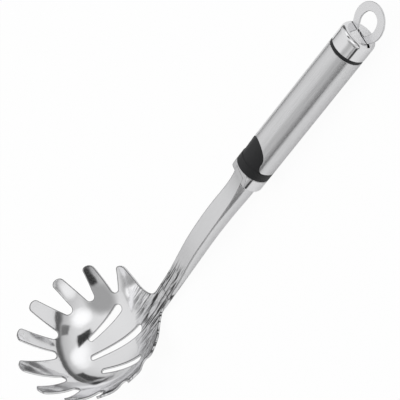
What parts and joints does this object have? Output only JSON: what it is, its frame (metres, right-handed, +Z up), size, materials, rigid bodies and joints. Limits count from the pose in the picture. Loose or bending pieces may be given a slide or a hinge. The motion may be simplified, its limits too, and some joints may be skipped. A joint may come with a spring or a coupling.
{
  "type": "pasta server",
  "caption": "Slotted steel pasta server with upturned tines round a tilted bowl, a flat-topped shaft, a round tube handle with a thumb pad and a swinging hanging loop.",
  "frame": {"origin": "on the handle's axis, in the middle of the bare round grip tube", "axes": "+X along the handle from the bowl to the hanging loop, +Z up out of the bowl, the way the tines point"},
  "size_m": [0.3249, 0.09, 0.0646],
  "materials": {
    "polished_steel": "polished",
    "satin_steel": "satin",
    "brushed_tube": "brushed lengthwise",
    "black_plastic": "matte",
    "zinc_steel": "plain"
  },
  "bodies": {
    "tool": {"bowl": "polished_steel", "shaft": "satin_steel", "collar": "black_plastic", "tube": "brushed_tube", "rear_plug": "black_plastic", "tang": "zinc_steel", "washer": "zinc_steel", "nut": "zinc_steel", "end_cap": "polished_steel", "loop_pin": "polished_steel"},
    "loop": {"hanging_loop": "satin_steel"}
  },
  "joints": [
    {"name": "loop_swing", "type": "hinge", "parent": "tool", "child": "loop", "pos_m": [0.04775, 0, 0], "axis": [0, -0.1736, 0.9848], "range_deg": [-10, 10]}
  ]
}
